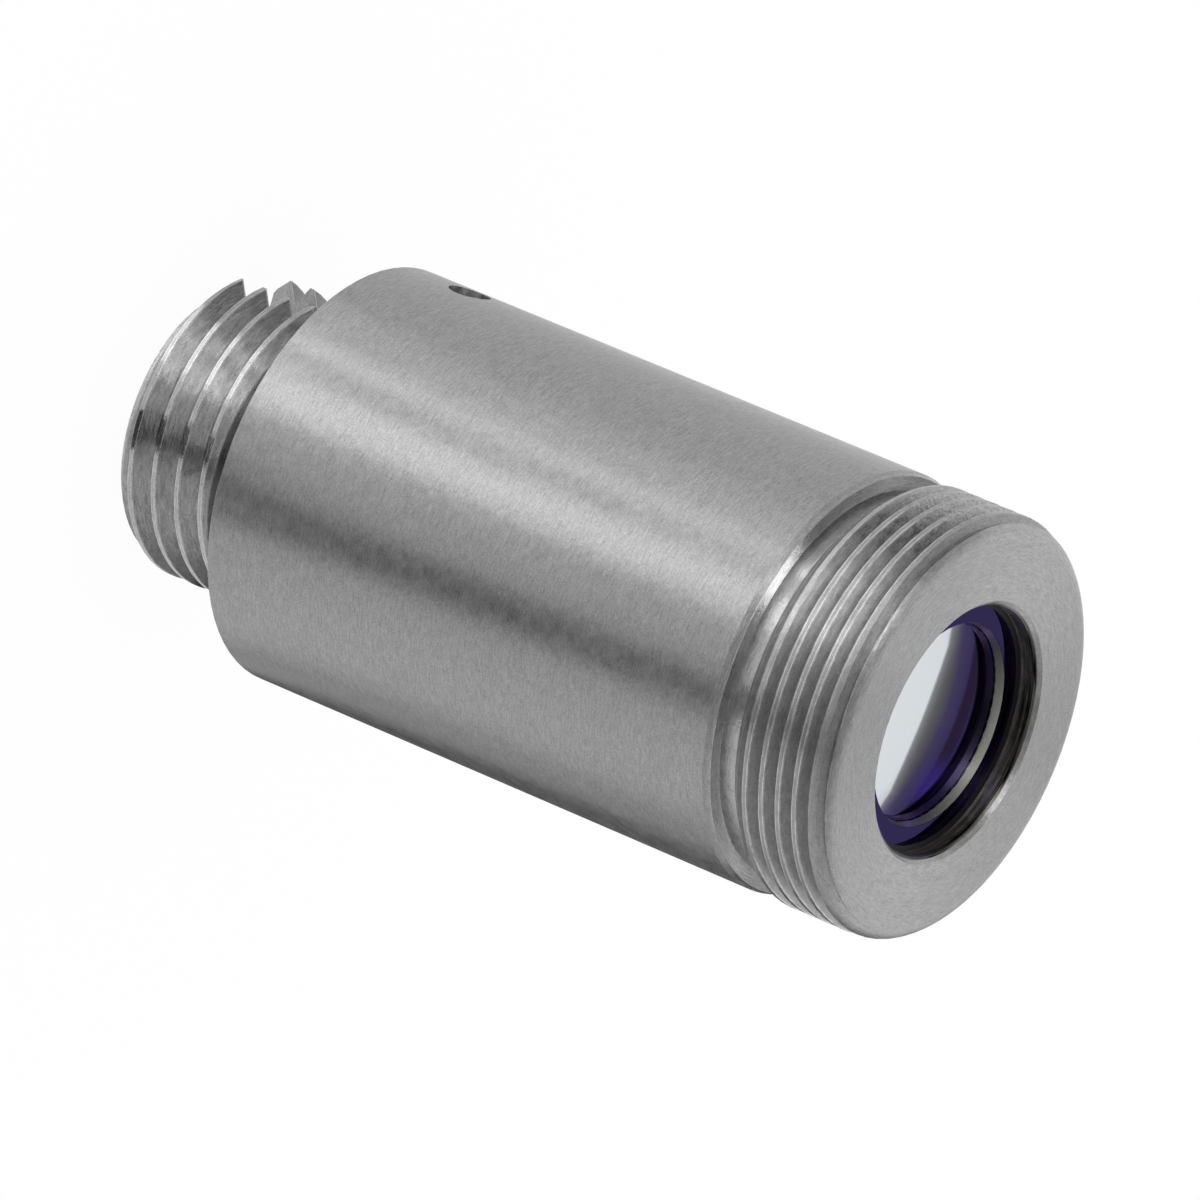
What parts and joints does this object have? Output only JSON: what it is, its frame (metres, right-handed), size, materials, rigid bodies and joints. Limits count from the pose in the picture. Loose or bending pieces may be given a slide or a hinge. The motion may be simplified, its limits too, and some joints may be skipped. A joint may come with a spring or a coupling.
{
  "type": "fibre collimator",
  "caption": "Slim steel barrel with a coated lens sunk in its threaded front and a keyed, threaded receptacle for a fibre plug at the back.",
  "frame": {"origin": "centre of the receptacle's rear end face, on which the part stands", "axes": "+Z along the light axis towards the lens, +Y through the keyway and the set screw"},
  "size_m": [0.011, 0.011, 0.0234],
  "materials": {
    "barrel_steel": "fine turned",
    "receptacle_steel": "turned and threaded",
    "sleeve_steel": "honed",
    "coated_glass": "anti-reflection coated",
    "black_adhesive": "cured adhesive",
    "screw_steel": "plain"
  },
  "bodies": {
    "root": {"housing": "barrel_steel", "fibre_receptacle": "receptacle_steel", "ferrule_sleeve": "sleeve_steel", "aspheric_lens": "coated_glass", "lens_bond_ring": "black_adhesive", "set_screw": "screw_steel"}
  },
  "joints": []
}
